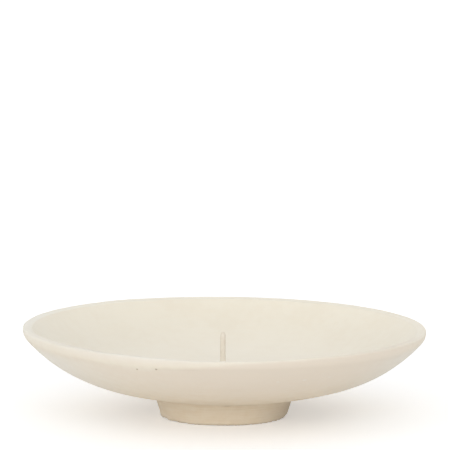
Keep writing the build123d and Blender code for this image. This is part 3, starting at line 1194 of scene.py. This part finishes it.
spike = round_blank("painted_spike", flange_radius, FLANGE_BASE, FLANGE_TOP, SPIKE_SIDES)
select_faces(spike, end_at(FLANGE_TOP))
bpy.ops.mesh.inset(thickness=(flange_radius - PIN_RADIUS) * MM)
drawn(tip_base - FLANGE_TOP)
drawn(TIP_LENGTH, TIP_RADIUS / PIN_RADIUS)
bpy.ops.object.mode_set(mode="OBJECT")
select_faces(spike, end_at(FLANGE_BASE))
bpy.ops.mesh.inset(thickness=(flange_radius - SHANK_RADIUS) * MM)
drawn(spike_low.z - FLANGE_BASE)
bpy.ops.object.mode_set(mode="OBJECT")
print(f"Spike from {spike_low.z:.2f} to {spike_high.z:.2f} mm")

# %% Rounded edges, and a fillet of paint at the flange
TIP_ROUND = 0.35
SHOULDER_ROUND = 0.3
FLANGE_ROUND = 0.35
FILLET = 0.5
BEVEL_SEGMENTS = 4

for height, radius, width in (
    (spike_high.z, TIP_RADIUS, TIP_ROUND),
    (tip_base, PIN_RADIUS, SHOULDER_ROUND),
    (FLANGE_TOP, flange_radius, FLANGE_ROUND),
    (FLANGE_TOP, PIN_RADIUS, FILLET),
):
    select_edges(spike, ring_at(height, radius))
    bpy.ops.mesh.bevel(offset=width * MM, segments=BEVEL_SEGMENTS)
    bpy.ops.object.mode_set(mode="OBJECT")
print("Spike with rounded edges:", len(spike.data.polygons), "faces")

# %% Screw thread
THREAD_PITCH = 0.7
THREAD_DEPTH = 0.4
RINGS_A_TURN = 8
THREAD_RUNOUT = 0.7  # the thread fades out this far from the flange and from its end
LEAD_IN_DEPTH = 0.5  # the end is cut back by this much, so that the nut finds its way on
thread_end = spike_low.z
thread_turns = (FLANGE_BASE - thread_end) / THREAD_PITCH


def along_shank(start, end):
    low, high = sorted((start.z, end.z))
    return abs(low - thread_end) < TOUCH and abs(high - FLANGE_BASE) < TOUCH


select_edges(spike, along_shank)
bpy.ops.mesh.subdivide(number_cuts=round(thread_turns * RINGS_A_TURN) - 1)
bpy.ops.object.mode_set(mode="OBJECT")
for vertex in spike.data.vertices:
    spot = vertex.co / MM - Vector((SPIKE_X, 0, 0))
    if spot.z < FLANGE_BASE - TOUCH and spot.xy.length > SHANK_RADIUS - TOUCH:
        turn = (spot.z / THREAD_PITCH - angle_of(spot) / 360) % 1
        flank = abs(2 * turn - 1)
        full = smooth((FLANGE_BASE - spot.z) / THREAD_RUNOUT)
        lead_in = LEAD_IN_DEPTH * (1 - smooth((spot.z - thread_end) / THREAD_RUNOUT))
        cut = max(THREAD_DEPTH * flank * full, lead_in)
        vertex.co.xy -= spot.xy.normalized() * cut * MM
print(f"Thread: {thread_turns:.1f} turns")

# %% [markdown]
# ## Finish: matte cream paint on steel
#
# The pin is coated in the same cream as the dish. Sprayed paint has a fine orange peel, gathers a little at
# the foot of the pin and wears through first at the sharp tip and along the thread, where the nut has rubbed
# it to bare steel. Paint and steel could be two materials on two sets of faces, but the line between them
# would be too clean. So height along the spike tells paint from thread, and noise breaks up the line.

# %% Paint
PAINT_COLOUR = srgb(231, 223, 209)
PAINT_SHADE = srgb(226, 216, 201)
WORN_STEEL = srgb(168, 165, 160)
PEEL_SIZE = 0.7
PATCH_SIZE = 3.5
PATCH_EDGES = (0.35, 0.7)
PAINT_GONE = FLANGE_BASE - 0.6
PAINT_WHOLE = FLANGE_BASE - 0.1
PAINT_BREAK_UP = 0.8  # millimetres by which noise shifts the line
TIP_WEAR_START = tip_base + 1.7
TIP_WEAR_FULL = tip_base + 2.3
TIP_BREAK_UP = 1.2
TIP_WEAR = 0.5
PAINT_ROUGHNESS = (0.5, 0.64)
STEEL_SMOOTHER = 0.15

paint, place = new_finish("cream_paint")
height = part_of(place, "Z") / MM
peel = grain(place, PEEL_SIZE)
patches = grain(place, PATCH_SIZE, detail=3)
on_thread = 1 - span(height + (patches - NOISE_MEAN) * PAINT_BREAK_UP, PAINT_GONE, PAINT_WHOLE)
at_tip = span(height + (peel - NOISE_MEAN) * TIP_BREAK_UP, TIP_WEAR_START, TIP_WEAR_FULL)
worn = place.math("MAXIMUM", on_thread, at_tip * TIP_WEAR)
cream = tint(span(patches, *PATCH_EDGES), PAINT_COLOUR, PAINT_SHADE)
surface(place, {
    "Base Color": tint(worn, cream, WORN_STEEL),
    "Metallic": worn,
    "Roughness": span(patches, *NOISE_BULK, *PAINT_ROUGHNESS) - worn * STEEL_SMOOTHER,
    "Specular IOR Level": 0.35,
    "Normal": relief(peel, depth=0.05, strength=0.4),
})
spike.data.materials.append(paint)
print("Paint finish:", len(paint.node_tree.nodes), "nodes")

# %% [markdown]
# ## Washers and nut
#
# Under the flange and in the hollow of the foot a soft washer keeps steel off the clay, and a steel washer
# spreads the pull of the nut. A torus or a tube with sharp edges could stand for them, but a real washer is
# flat and its edges are a little rounded. Each one starts as a cylinder; both ends are inset to the bore,
# the inset faces are deleted, the two rims bridged and all four edges bevelled. The nut is spun like the
# dish, and its round side is then pulled in to six flats.

# %% Washers
WASHER_SIDES = 64
WASHER_BEVEL_SEGMENTS = 3
SOFT_BORE_RADIUS = 2.05
SOFT_EDGE_ROUND = 0.2
STEEL_BORE_RADIUS = 2.15
STEEL_EDGE_ROUND = 0.15


def select_rings(piece, rings):
    """Leave a piece in edit mode with the edges of several rings selected."""
    tests = [ring_at(height, radius) for height, radius in rings]
    select_edges(piece, lambda start, end: any(on_ring(start, end) for on_ring in tests))


def ring_piece(name, node, bore_radius, edge_round):
    """A washer in the box of its CAD node: cylinder, inset ends, bridged bore and rounded edges."""
    low, high = (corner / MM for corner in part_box(node))
    radius = (high.y - low.y) / 2
    piece = round_blank(name, radius, low.z, high.z, WASHER_SIDES)
    for end in (low.z, high.z):
        select_faces(piece, end_at(end))
        bpy.ops.mesh.inset(thickness=(radius - bore_radius) * MM)
        bpy.ops.mesh.delete(type="ONLY_FACE")
        bpy.ops.object.mode_set(mode="OBJECT")
    bore = [(end, bore_radius) for end in (low.z, high.z)]
    outside = [(end, radius) for end in (low.z, high.z)]
    select_rings(piece, bore)
    bpy.ops.mesh.bridge_edge_loops()
    bpy.ops.object.mode_set(mode="OBJECT")
    select_rings(piece, outside + bore)
    bpy.ops.mesh.bevel(offset=edge_round * MM, segments=WASHER_BEVEL_SEGMENTS)
    bpy.ops.mesh.select_all(action="SELECT")
    bpy.ops.mesh.normals_make_consistent(inside=False)
    bpy.ops.object.mode_set(mode="OBJECT")
    print(f"{name}: {2 * radius:.1f} mm across, {len(piece.data.polygons)} faces")
    return piece


seat_washer = ring_piece("seat_washer_soft", "seat_washer", SOFT_BORE_RADIUS, SOFT_EDGE_ROUND)
backing_washer = ring_piece("backing_washer_soft", "backing_washer", SOFT_BORE_RADIUS, SOFT_EDGE_ROUND)
steel_washer = ring_piece("steel_washer_plated", "steel_washer", STEEL_BORE_RADIUS, STEEL_EDGE_ROUND)

# %% Hexagon nut
NUT_SIDES = 6
POINTS_A_SIDE = 12
NUT_FLAT = 3.5  # from the axis to a flat
NUT_BORE_RADIUS = 2.025
NUT_CONE_RADIUS = 3.35  # the turned cone takes the corners off outside this
NUT_CONE_SLOPE = math.tan(math.radians(30))
NUT_MOUTH = 0.3
nut_low, nut_high = (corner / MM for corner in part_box("hex_nut"))
nut_corner = NUT_FLAT / math.cos(math.pi / NUT_SIDES)


def cone_height(radius):
    return nut_low.z + (radius - NUT_CONE_RADIUS) * NUT_CONE_SLOPE


nut_outline = (
    (NUT_BORE_RADIUS, nut_high.z),
    (nut_corner, nut_high.z),
    (nut_corner, cone_height(nut_corner)),
    (NUT_CONE_RADIUS, nut_low.z),
    (NUT_BORE_RADIUS + NUT_MOUTH, nut_low.z),
    (NUT_BORE_RADIUS, nut_low.z + NUT_MOUTH),
    (NUT_BORE_RADIUS, nut_high.z),
)
nut = turned_piece("hex_nut_plated", [Vector(point) for point in nut_outline], NUT_SIDES * POINTS_A_SIDE)
for vertex in nut.data.vertices:
    radius = vertex.co.xy.length / MM
    if radius > NUT_CONE_RADIUS + TOUCH:
        off_flat = math.radians(angle_of(vertex.co) % (360 / NUT_SIDES) - 180 / NUT_SIDES)
        flat = NUT_FLAT / math.cos(off_flat)
        vertex.co.xy *= flat / radius
        if vertex.co.z < (nut_low.z + nut_high.z) / 2 * MM:
            vertex.co.z = cone_height(flat) * MM
    vertex.co.x += SPIKE_X * MM
print(f"Nut: {2 * NUT_FLAT:.1f} mm across flats, {len(nut.data.polygons)} faces")

# %% [markdown]
# ## Finish: soft washers and plated steel
#
# The soft washers are pale cork-like rubber: matte, with darker crumbs. Zinc plating is a bright grey with a
# faint blue cast, dulled in patches, and it keeps the fine rings of the tool that faced the nut and the
# washer. Plain grey would do from far off, but anyone who lifts the dish and looks under the foot sees these
# pieces close to. A Mapping node moves the rings onto the spike's axis, which isn't quite the dish's.

# %% Soft washers
CORK_PALE = srgb(206, 194, 174)
CORK_DARK = srgb(150, 132, 108)
CORK_CRUMB_SIZE = 0.5
CORK_EDGES = (0.45, 0.7)
CORK_ROUGHNESS = (0.8, 0.95)

cork, place = new_finish("pale_cork")
crumbs = grain(place, CORK_CRUMB_SIZE, detail=3, roughness=0.6)
surface(place, {
    "Base Color": tint(span(crumbs, *CORK_EDGES), CORK_PALE, CORK_DARK),
    "Roughness": span(crumbs, *NOISE_BULK, *CORK_ROUGHNESS),
    "Specular IOR Level": 0.3,
    "Normal": relief(crumbs, depth=0.08, strength=0.6),
})
print("Cork finish:", len(cork.node_tree.nodes), "nodes")

# %% Zinc plate
ZINC_BRIGHT = srgb(206, 208, 210)
ZINC_DULL = srgb(184, 186, 187)
TOOL_RING_SIZE = 0.12
DULL_SIZE = 1.6
DULL_EDGES = (0.4, 0.68)
ZINC_GLOSS_EDGES = (0.35, 0.7)
ZINC_ROUGHNESS = (0.28, 0.5)

zinc, place = new_finish("zinc_plate")
centred = place.node("ShaderNodeMapping", inputs={"Vector": place, "Location": -spike_axis})
faced = place.node("ShaderNodeCombineXYZ", inputs={"X": from_axis(centred), "Y": part_of(centred, "Z")})
tool_rings = grain(faced, TOOL_RING_SIZE)
dulled = grain(place, DULL_SIZE, detail=4, roughness=0.6)
surface(place, {
    "Base Color": tint(span(dulled, *DULL_EDGES), ZINC_BRIGHT, ZINC_DULL),
    "Metallic": 1.0,
    "Roughness": span(dulled, *ZINC_GLOSS_EDGES, *ZINC_ROUGHNESS),
    "Normal": relief(tool_rings, depth=0.02, strength=0.5),
})

for piece, finish in ((seat_washer, cork), (backing_washer, cork), (steel_washer, zinc), (nut, zinc)):
    piece.data.materials.append(finish)
print("Finishes:", sorted(m.name for m in bpy.data.materials if m.users))

# %% [markdown]
# ## Join the pieces to the frame
#
# Each new piece stands for one CAD node: the node is hidden and keeps its place in the simulation. Nothing
# moves on this object, so all pieces ride on the one body. Soft shading stops at the sharp edges, which the
# angle finds.

# %% Ride and replace
SHARP_ANGLE = math.radians(35)

for piece, node, slot in (
    (dish, "dish", "clay"),
    (spike, "candle_spike", "spike_paint"),
    (seat_washer, "seat_washer", "soft_washer"),
    (backing_washer, "backing_washer", "soft_washer"),
    (steel_washer, "steel_washer", "zinc_steel"),
    (nut, "hex_nut", "zinc_steel"),
):
    bpy.ops.object.select_all(action="DESELECT")
    piece.select_set(True)
    bpy.context.view_layer.objects.active = piece
    bpy.ops.object.shade_smooth_by_angle(angle=SHARP_ANGLE)
    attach(piece, "root")
    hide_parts(node)
